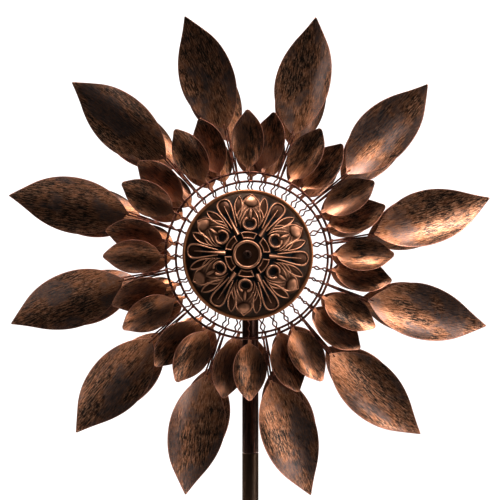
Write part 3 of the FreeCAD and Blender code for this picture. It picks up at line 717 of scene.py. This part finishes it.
def medallion_rows():
    """The section from the screw hole over the face, round the rolled rim and back underneath.

    It comes with the slices of rows that are the boss's bead and the carved face.
    """
    rows = [
        (HOLE_RADIUS, BOSS_FACE - BOSS_DEPTH),
        (HOLE_RADIUS, BOSS_FACE - HOLE_LIP),
        (HOLE_MOUTH, BOSS_FACE),
    ]
    rows += [(radius, BOSS_FACE) for radius in BOSS_FLAT]
    bead_start = len(rows)
    for step in range(BOSS_BEAD_STEPS + 1):
        turn = math.pi * (1 - step / BOSS_BEAD_STEPS)
        radius = BOSS_RADIUS - BOSS_BEAD + BOSS_BEAD * math.cos(turn)
        rows.append((radius, BOSS_FACE + BOSS_BEAD * math.sin(turn)))
    bead = slice(bead_start + 1, len(rows) - 1)
    rows.append((BOSS_RADIUS, dome_height(BOSS_RADIUS)))

    face_start = len(rows)
    radius = BOSS_RADIUS + FACE_STEP
    while radius < DOME_RADIUS - FACE_MARGIN:
        rows.append((radius, dome_height(radius)))
        radius += FACE_STEP
    face = slice(face_start, len(rows))

    rows.append((DOME_RADIUS, RIM_PLANE))
    for step in range(RIM_STEPS + 1):
        turn = RIM_SPREAD * (1 - 2 * step / RIM_STEPS)
        radius = DOME_RADIUS + BAND_WIDTH + RIM_ROLL * math.cos(turn)
        rows.append((radius, RIM_PLANE - RIM_DROP + RIM_ROLL * math.sin(turn)))
    rows.append((DOME_RADIUS, RIM_PLANE - SHELL))
    back = DOME_RADIUS - BACK_MARGIN
    for step in range(BACK_STEPS + 1):
        radius = back - (back - BOSS_RADIUS) * step / BACK_STEPS
        rows.append((radius, dome_height(radius, SHELL)))
    rows.append((BOSS_RADIUS, CROWN - BOSS_DEPTH))
    rows.append((HOLE_RADIUS, CROWN - BOSS_DEPTH))
    return rows, bead, face


def make_medallion(rotor, side, material):
    rows, bead, face = medallion_rows()
    columns = MEDALLION_COLUMNS
    turns = np.arange(columns) * 2 * math.pi / columns
    radius = np.repeat([row[0] for row in rows], columns).reshape(-1, columns)
    angle = np.broadcast_to(turns, radius.shape)
    relief = np.zeros_like(radius)
    relief[face] = relief_at(radius[face], angle[face] - MEDALLION_TURN)
    points = lathed(rows, columns)
    points[:, 2] += relief.ravel()
    points[:, 2] += CASTING_DEPTH * wobble(points, CASTING_SCALE, CASTING_SEED)
    tone = relief / FULL_RELIEF
    tone[:face.start] = BOSS_TONE
    tone[bead] = BEAD_TONE
    tone[face.stop:] = BACK_TONE
    outward = radius / DOME_RADIUS
    skin = Skin()
    faces = grid_faces(len(rows), columns, closed_rows=True)
    skin.add(points, faces, relief=tone.ravel(), outward=outward.ravel())
    piece = make_object(f"{rotor}_rosette", skin, side)
    installed(piece, f"{rotor}_rotor", material, "medallion_copper", f"{rotor}_medallion")


def make_centre_screw(rotor, side, material):
    """A low domed head with a square socket, on a plain shank."""
    turns = np.arange(SCREW_SIDES) * 2 * math.pi / SCREW_SIDES
    square = SCREW_SOCKET / np.maximum(np.abs(np.cos(turns)), np.abs(np.sin(turns)))
    rows = [(SCREW_SHANK, BOSS_FACE - SCREW_LENGTH), (SCREW_SHANK, BOSS_FACE)]
    rows += [(SCREW_HEAD * share, BOSS_FACE + rise * MM) for share, rise in HEAD_STEPS]
    rows += [(square * share, BOSS_FACE + rise * MM) for share, rise in SOCKET_STEPS]
    points, faces = capped(lathed(rows, SCREW_SIDES), grid_faces(len(rows), SCREW_SIDES), SCREW_SIDES)
    skin = Skin()
    skin.add(moved(points, turned(math.radians(45))), faces)
    piece = make_object(f"{rotor}_centre_screw", skin, side)
    installed(piece, f"{rotor}_rotor", material, "medallion_copper", f"{rotor}_medallion_screw")


# ---------------------------------------------------------------- pole


END_ROLL = 1.1 * MM
ROLL_ANGLES = (0, 22, 45, 68, 90)
TUBE_SIDES = 48


def make_tube(name, node, material):
    """A pole tube with rolled ends, the size and place of its CAD node."""
    low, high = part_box(node)
    outer = (high.x - low.x) / 2
    inner = outer - POLE_WALL
    roll = [
        (outer - END_ROLL + END_ROLL * math.cos(angle), END_ROLL * math.sin(angle))
        for angle in np.radians(ROLL_ANGLES)
    ]
    rows = [(radius, high.z - END_ROLL + rise) for radius, rise in roll]
    rows += [(inner, high.z), (inner, low.z)]
    rows += [(radius, low.z + END_ROLL - rise) for radius, rise in reversed(roll)]
    skin = Skin()
    skin.add(lathed(rows, TUBE_SIDES), grid_faces(len(rows), TUBE_SIDES, closed_rows=True))
    piece = make_upright(name, skin)
    installed(piece, "stand", material, "pole_bronze", node)


# ---------------------------------------------------------------- materials


class Paint:
    """A material being wired up, with one short call for each kind of node."""

    def __init__(self, name, metallic, coat=0.0, coat_roughness=0.3):
        self.material = bpy.data.materials.new(name)
        self.material.use_nodes = True
        self.nodes = self.material.node_tree.nodes
        self.links = self.material.node_tree.links
        self.shader = next(node for node in self.nodes if node.type == "BSDF_PRINCIPLED")
        self.set("Metallic", metallic)
        self.set("Coat Weight", coat)
        self.set("Coat Roughness", coat_roughness)

    def set(self, socket, value):
        """Give a shader socket a plain number, a colour or another node's output."""
        if isinstance(value, bpy.types.NodeSocket):
            self.links.new(value, self.shader.inputs[socket])
        elif isinstance(value, tuple):
            self.shader.inputs[socket].default_value = (*value, 1)
        else:
            self.shader.inputs[socket].default_value = value

    def feed(self, node, index, value):
        if isinstance(value, bpy.types.NodeSocket):
            self.links.new(value, node.inputs[index])
        elif isinstance(value, tuple) and node.inputs[index].type == "RGBA":
            node.inputs[index].default_value = (*value, 1)
        else:
            node.inputs[index].default_value = value

    def mark(self, name, vector=False):
        node = self.nodes.new("ShaderNodeAttribute")
        node.attribute_name = name
        return node.outputs["Vector" if vector else "Fac"]

    def spot(self):
        """The point on the piece as it was drawn, whatever its pose."""
        return self.nodes.new("ShaderNodeTexCoord").outputs["Object"]

    def stretched(self, vector, scale):
        node = self.nodes.new("ShaderNodeMapping")
        self.feed(node, "Vector", vector)
        node.inputs["Scale"].default_value = scale
        return node.outputs["Vector"]

    def noise(self, vector, scale=1.0, detail=4.0, rough=0.55):
        node = self.nodes.new("ShaderNodeTexNoise")
        self.feed(node, "Vector", vector)
        node.inputs["Scale"].default_value = scale
        node.inputs["Detail"].default_value = detail
        node.inputs["Roughness"].default_value = rough
        return node.outputs["Fac"]

    def between(self, value, low, high, first=0.0, last=1.0):
        """Ease from first to last as the value goes from low to high."""
        node = self.nodes.new("ShaderNodeMapRange")
        node.interpolation_type = "SMOOTHSTEP"
        for index, number in enumerate((value, low, high, first, last)):
            self.feed(node, index, number)
        return node.outputs["Result"]

    def sum(self, first, second, kind="ADD"):
        node = self.nodes.new("ShaderNodeMath")
        node.operation = kind
        self.feed(node, 0, first)
        self.feed(node, 1, second)
        return node.outputs[0]

    def times(self, first, second):
        return self.sum(first, second, "MULTIPLY")

    def mix(self, factor, first, second):
        node = self.nodes.new("ShaderNodeMixRGB")
        for index, value in enumerate((factor, first, second)):
            self.feed(node, index, value)
        return node.outputs[0]

    def bump(self, height, depth, normal=None):
        node = self.nodes.new("ShaderNodeBump")
        node.inputs["Distance"].default_value = depth
        node.inputs["Strength"].default_value = 1
        self.feed(node, "Height", height)
        if normal:
            self.feed(node, "Normal", normal)
        return node.outputs["Normal"]


# Colours are linear red, green and blue. A RANGE or RUN is where a mask starts and ends, a
# ROUGHNESS is the lowest and highest, and a STRENGTH is the most that a colour covers.
PATINA = (0.013, 0.0070, 0.0038)
WORN_AND_HIGHLIGHT_COPPER = (0.35, 0.136, 0.056)
RUBBED_COPPER = (0.62, 0.34, 0.21)
SLATE = (0.074, 0.071, 0.076)
FLECK_COPPER = (0.55, 0.28, 0.20)
RIM_COPPER = (0.46, 0.205, 0.135)

# Petal paint: noise cells per metre along, across and through the petal.
STREAKS = (110, 640, 30)
HAIR = (330, 1700, 30)
PATCHES = (70, 160, 30)
CLOUDS = (17, 30, 17)
GRAINS = (700, 900, 30)
STREAK_WEAR = 0.6
PATCH_WEAR = 0.5
CLOUD_WEAR = 0.4
# Painted highlight: the next two values add copper over the first half of each petal's length, most at its
# base.
BASE_HIGHLIGHT_RUN = (0.0, 0.5)
BASE_HIGHLIGHT = 0.10
WORN_BELOW = 0.10
WORN_ABOVE = 0.12
HAIR_SHARE = 0.6
BRIGHT_RANGE = (0.76, 0.98)
BRIGHT_STRENGTH = 0.75
CLOUD_RANGE = (0.47, 0.60)
HAIR_RANGE = (0.30, 0.55)
SLATE_STRENGTH = 0.8
GRAIN_RANGE = (0.53, 0.62)
FLECK_RUN = (0.8 * MM, 9 * MM)
FLECK_STRENGTH = 0.7
RIM_RUN = (0.4 * MM, 1.5 * MM)
RIM_STRENGTH = 0.9
ROUGH_RANGE = (0.6, 1.4)
PETAL_ROUGHNESS = (0.28, 0.46)
HAIR_DEPTH = 0.10 * MM
STREAK_DEPTH = 0.14 * MM

# Medallion paint: painted shade, nearly black, in the hollows and painted highlight, bright copper, on the
# ridges.
HOLLOW_SHADE_BLACK = (0.009, 0.013, 0.016)
HOLLOW_BROWN = (0.045, 0.022, 0.011)
SLOPE_BROWN = (0.085, 0.033, 0.015)
RIDGE_HIGHLIGHT_COPPER = (0.55, 0.27, 0.16)
SPECK_COPPER = (0.3, 0.15, 0.1)
BAND_COPPER = (0.50, 0.21, 0.095)
MOTTLE_SCALE = 140
MOTTLE_SHARE = 0.35
SPECK_SCALE = 900
SPECK_STRENGTH = 0.2
BROWN_RUN = (0.8, 0.97)
SLOPE_RANGE = (0.04, 0.35)
RIDGE_HIGHLIGHT_RANGE = (0.45, 0.95)
SPECK_RANGE = (0.55, 0.75)
BAND_RUN = (0.995, 1.02)
MEDALLION_ROUGHNESS = (0.3, 0.48)
SPECK_DEPTH = 0.06 * MM

# Plain metals.
TONE_RANGE = (0.38, 0.66)
MIDDLE_RANGE = (0.3, 0.7)
FINE_TIMES = 7
SMOOTHER = 0.06
ROUGHER = 0.08


def petal_paint(name, brushed, lighter_copper_and_painted_light):
    """Dark patina brushed along the petal, rubbed through to copper in streaks, spots and at the rim, with
    a painted highlight of copper towards the base, and a gain on the copper that is partly lighter copper
    and partly painted light.
    """
    paint = Paint(name, metallic=0.85, coat=0.3, coat_roughness=0.3)
    place = paint.mark("place", vector=True)
    rim = paint.mark("rim")
    along = paint.mark("along")
    streaks = paint.noise(paint.stretched(place, STREAKS), detail=6, rough=0.7)
    hair = paint.noise(paint.stretched(place, HAIR), detail=3)
    patches = paint.noise(paint.stretched(place, PATCHES), detail=6, rough=0.7)
    clouds = paint.noise(paint.stretched(place, CLOUDS), detail=3)
    grains = paint.noise(paint.stretched(place, GRAINS), detail=2, rough=0.7)

    wear_and_highlight = paint.sum(paint.times(streaks, STREAK_WEAR * brushed), paint.times(patches, PATCH_WEAR))
    wear_and_highlight = paint.sum(wear_and_highlight, paint.times(clouds, CLOUD_WEAR))
    # Painted highlight: more copper towards the petal's base.
    wear_and_highlight = paint.sum(wear_and_highlight, paint.between(along, *BASE_HIGHLIGHT_RUN, BASE_HIGHLIGHT, 0.0))
    middle = (STREAK_WEAR * brushed + PATCH_WEAR + CLOUD_WEAR) / 2
    wear_and_highlight_mask = paint.between(wear_and_highlight, middle - WORN_BELOW, middle + WORN_ABOVE)
    # The gain on the copper is partly a lighter copper and partly painted light, making up for the shade
    # that neighbouring petals cast.
    colour = paint.mix(wear_and_highlight_mask, PATINA, tuple(part * lighter_copper_and_painted_light for part in WORN_AND_HIGHLIGHT_COPPER))

    brushing = paint.sum(streaks, paint.times(hair, HAIR_SHARE))
    bright = paint.between(brushing, *BRIGHT_RANGE, 0, brushed)
    colour = paint.mix(paint.times(bright, BRIGHT_STRENGTH), colour, RUBBED_COPPER)
    grey = paint.times(paint.between(clouds, *CLOUD_RANGE), paint.between(hair, *HAIR_RANGE))
    colour = paint.mix(paint.times(grey, SLATE_STRENGTH * brushed), colour, SLATE)
    near_rim = paint.between(rim, *FLECK_RUN, 1.0, 0.0)
    flecks = paint.times(paint.between(grains, *GRAIN_RANGE), near_rim)
    colour = paint.mix(paint.times(flecks, FLECK_STRENGTH), colour, FLECK_COPPER)
    colour = paint.mix(paint.between(rim, *RIM_RUN, RIM_STRENGTH, 0.0), colour, RIM_COPPER)

    paint.set("Base Color", colour)
    paint.set("Roughness", paint.between(paint.sum(streaks, hair), *ROUGH_RANGE, *PETAL_ROUGHNESS))
    paint.set("Normal", paint.bump(streaks, STREAK_DEPTH, paint.bump(hair, HAIR_DEPTH)))
    return paint.material


def medallion_paint():
    """Painted highlight of bright copper on the raised pattern over painted shade, nearly black, in the
    hollows; browner towards the rim.
    """
    paint = Paint("rosette_finish", metallic=0.8, coat=0.12, coat_roughness=0.3)
    spot = paint.spot()
    relief = paint.mark("relief")
    outward = paint.mark("outward")
    mottle = paint.noise(spot, MOTTLE_SCALE, detail=5, rough=0.6)
    fine = paint.noise(spot, SPECK_SCALE, detail=3)
    height = paint.sum(relief, paint.times(paint.sum(mottle, -0.5), MOTTLE_SHARE))
    # Painted shade: nearly black in the hollows, browner near the rim.
    colour = paint.mix(paint.between(outward, *BROWN_RUN), HOLLOW_SHADE_BLACK, HOLLOW_BROWN)
    colour = paint.mix(paint.between(height, *SLOPE_RANGE), colour, SLOPE_BROWN)
    # Painted highlight: bright copper on the ridges.
    colour = paint.mix(paint.between(height, *RIDGE_HIGHLIGHT_RANGE), colour, RIDGE_HIGHLIGHT_COPPER)
    specks = paint.times(paint.between(fine, *SPECK_RANGE), SPECK_STRENGTH)
    colour = paint.mix(specks, colour, SPECK_COPPER)
    colour = paint.mix(paint.between(outward, *BAND_RUN), colour, BAND_COPPER)
    paint.set("Base Color", colour)
    paint.set("Roughness", paint.between(mottle, *MIDDLE_RANGE, *MEDALLION_ROUGHNESS))
    paint.set("Normal", paint.bump(fine, SPECK_DEPTH))
    return paint.material


def metal_paint(name, dark, light, metallic, roughness, scale, depth=0.05 * MM, coat=0.0, squash=(1, 1, 1)):
    """A mottled metal or coated metal finish between two tones."""
    paint = Paint(name, metallic=metallic, coat=coat)
    spot = paint.stretched(paint.spot(), squash)
    mottle = paint.noise(spot, scale, detail=5, rough=0.6)
    fine = paint.noise(spot, scale * FINE_TIMES, detail=3)
    paint.set("Base Color", paint.mix(paint.between(mottle, *TONE_RANGE), dark, light))
    paint.set("Roughness", paint.between(fine, *MIDDLE_RANGE, roughness - SMOOTHER, roughness + ROUGHER))
    paint.set("Normal", paint.bump(fine, depth))
    return paint.material


def dress(node, material):
    """Give a CAD node that stays its finish."""
    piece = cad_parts[node]
    piece.data.materials.clear()
    piece.data.materials.append(material)


# Squashing the mottle's height draws it out up and down the pole.
LONG_WAYS = (1, 1, 0.12)

long_finish = petal_paint("long_petal_finish", brushed=1.0, lighter_copper_and_painted_light=1.0)
# The short petals' copper gain is partly their lighter colour and partly painted light for the shade of
# their neighbours.
short_finish = petal_paint("short_petal_finish", brushed=0.6, lighter_copper_and_painted_light=1.35)
rosette_finish = medallion_paint()
wire_finish = metal_paint(
    "wire_finish", dark=(0.065, 0.019, 0.011), light=(0.33, 0.125, 0.08),
    metallic=0.7, roughness=0.42, scale=220,
)
bronze_finish = metal_paint(
    "bronze_finish", dark=(0.03, 0.014, 0.009), light=(0.09, 0.04, 0.025),
    metallic=0.8, roughness=0.42, scale=90,
)
pole_finish = metal_paint(
    "pole_finish", dark=(0.050, 0.0150, 0.0066), light=(0.125, 0.042, 0.018),
    metallic=0.8, roughness=0.27, scale=60, coat=0.5, squash=LONG_WAYS,
)
# Painted light: the middle and bottom tubes get a lighter, browner copy of the pole paint, its lightness
# standing in for the dimmer light low on the pole.
low_pole_finish_with_painted_light = metal_paint(
    "low_pole_finish_with_painted_light", dark=(0.080, 0.0440, 0.0240), light=(0.200, 0.110, 0.060),
    metallic=0.75, roughness=0.38, scale=60, coat=0.4, squash=LONG_WAYS,
)
stake_finish = metal_paint(
    "stake_finish", dark=(0.010, 0.010, 0.011), light=(0.022, 0.021, 0.021),
    metallic=0.2, roughness=0.5, scale=400, depth=0.12 * MM,
)
zinc_finish = metal_paint(
    "zinc_finish", dark=(0.34, 0.34, 0.36), light=(0.56, 0.56, 0.58),
    metallic=1.0, roughness=0.34, scale=160,
)
steel_finish = metal_paint(
    "steel_finish", dark=(0.5, 0.5, 0.52), light=(0.68, 0.68, 0.7),
    metallic=1.0, roughness=0.2, scale=300, depth=0.02 * MM,
)

for rotor_name, rotor_side in SIDES:
    make_petals(rotor_name, rotor_side, long_finish, short_finish)
    make_ring(rotor_name, rotor_side, wire_finish)
    make_spokes(rotor_name, rotor_side, wire_finish)
    make_stems(rotor_name, rotor_side, wire_finish)
    make_medallion(rotor_name, rotor_side, rosette_finish)
    make_centre_screw(rotor_name, rotor_side, bronze_finish)
    dress(f"{rotor_name}_hub", bronze_finish)
    dress(f"{rotor_name}_hub_cap", bronze_finish)
    dress(f"{rotor_name}_outer_races", steel_finish)
    dress(f"{rotor_name}_bearing_balls", steel_finish)

make_tube("top_tube", "upper_pole", pole_finish)
make_tube("middle_tube", "middle_pole", low_pole_finish_with_painted_light)
make_tube("bottom_tube", "lower_pole", low_pole_finish_with_painted_light)
dress("pole_head", pole_finish)
for node_name in ("stake_spike", "stake_prongs", "stake_plate"):
    dress(node_name, stake_finish)
for node_name in ("pole_couplers", "pole_screws", "axle", "axle_spacers", "axle_nuts"):
    dress(node_name, zinc_finish)
dress("bearing_inner_races", steel_finish)


# ---------------------------------------------------------------- floor, light and camera


FLOOR_RADIUS = 2.2
FLOOR_SIDES = 96
FLOOR_MOTTLE = 3.0
FLOOR_TONES = ((0.80, 0.80, 0.79), (0.84, 0.84, 0.83))

# Each light's turn up from the right and its turn towards the viewer, in degrees, and its watts.
LIGHT_REACH = 2.6
LIGHT_SIZE = 1.0
LIGHTS = (
    ("right", 2, 24, 12),
    ("front_right", 8, 46, 9),
    ("key", 50, 19, 32),
    ("top", 95, 25, 50),
    ("left", 150, 12, 7),
    ("low_left", 225, 10, 22),
    ("low_right", 315, 12, 46),
    ("back_left", 135, -25, 35),
    ("back_low", 225, -25, 50),
    ("back_right", 315, -25, 40),
)

# The lens and sensor are in millimetres, and the shifts are shares of the sensor. The camera's
# place is in metres, right of the axle's middle, in front of it and below it.
LENS_LENGTH = 67.3
SENSOR_WIDTH = 36
SHIFT_RIGHT = -0.0716
SHIFT_UP = 0.0528
CAMERA_RIGHT = 0.044
CAMERA_AWAY = 1.212
CAMERA_DROP = 0.026


def aim(thing, target):
    """Turn a light or camera towards a point."""
    thing.rotation_mode = "QUATERNION"
    thing.rotation_quaternion = (Vector(target) - thing.location).to_track_quat("-Z", "Y")


def softbox(name, turn, front, power):
    """A round soft light, always the same distance from the middle of the axle."""
    turn, front = math.radians(turn), math.radians(front)
    out = Vector((math.cos(turn) * math.cos(front), -math.sin(front), math.sin(turn) * math.cos(front)))
    light = bpy.data.lights.new(name, "AREA")
    light.shape = "DISK"
    light.size = LIGHT_SIZE
    light.energy = power
    lamp = bpy.data.objects.new(name, light)
    centre = Vector((0, 0, AXIS_HEIGHT))
    lamp.location = centre + out * LIGHT_REACH
    bpy.context.collection.objects.link(lamp)
    aim(lamp, centre)


def make_world(seen, cast):
    """White behind the object, and a dimmer even light all round it."""
    world = bpy.data.worlds.new("studio")
    world.use_nodes = True
    nodes, links = world.node_tree.nodes, world.node_tree.links
    nodes.clear()
    output = nodes.new("ShaderNodeOutputWorld")
    mix = nodes.new("ShaderNodeMixShader")
    path = nodes.new("ShaderNodeLightPath")
    links.new(path.outputs["Is Camera Ray"], mix.inputs[0])
    for index, strength in ((1, cast), (2, seen)):
        background = nodes.new("ShaderNodeBackground")
        background.inputs["Strength"].default_value = strength
        background.inputs["Color"].default_value = (1, 1, 1, 1)
        links.new(background.outputs[0], mix.inputs[index])
    links.new(mix.outputs[0], output.inputs["Surface"])
    bpy.context.scene.world = world


def make_floor():
    """A plain pale disc under the whole object."""
    level = cad_box[0].z
    skin = Skin()
    skin.add(lathed([(FLOOR_RADIUS, level)], FLOOR_SIDES), [tuple(range(FLOOR_SIDES))])
    floor = make_upright("floor", skin, smooth=False)
    paint = Paint("floor_finish", metallic=0.0)
    mottle = paint.noise(paint.spot(), FLOOR_MOTTLE)
    paint.set("Base Color", paint.mix(mottle, *FLOOR_TONES))
    paint.set("Roughness", 0.8)
    floor.data.materials.append(paint.material)


def make_camera():
    """Level and square to the rotor, a little right of the axle and below it."""
    lens = bpy.data.cameras.new("camera")
    lens.lens = LENS_LENGTH
    lens.sensor_width = SENSOR_WIDTH
    lens.shift_x = SHIFT_RIGHT
    lens.shift_y = SHIFT_UP
    lens.clip_start = 10 * MM
    camera = bpy.data.objects.new("camera", lens)
    camera.location = (CAMERA_RIGHT, -CAMERA_AWAY, AXIS_HEIGHT - CAMERA_DROP)
    bpy.context.collection.objects.link(camera)
    aim(camera, camera.location + Vector((0, 1, 0)))
    bpy.context.scene.camera = camera


make_world(seen=1.0, cast=0.010)
for light_facts in LIGHTS:
    softbox(*light_facts)
make_floor()
make_camera()
view = bpy.context.scene.view_settings
view.view_transform = "Standard"
view.exposure = 0.3
view.gamma = 0.82
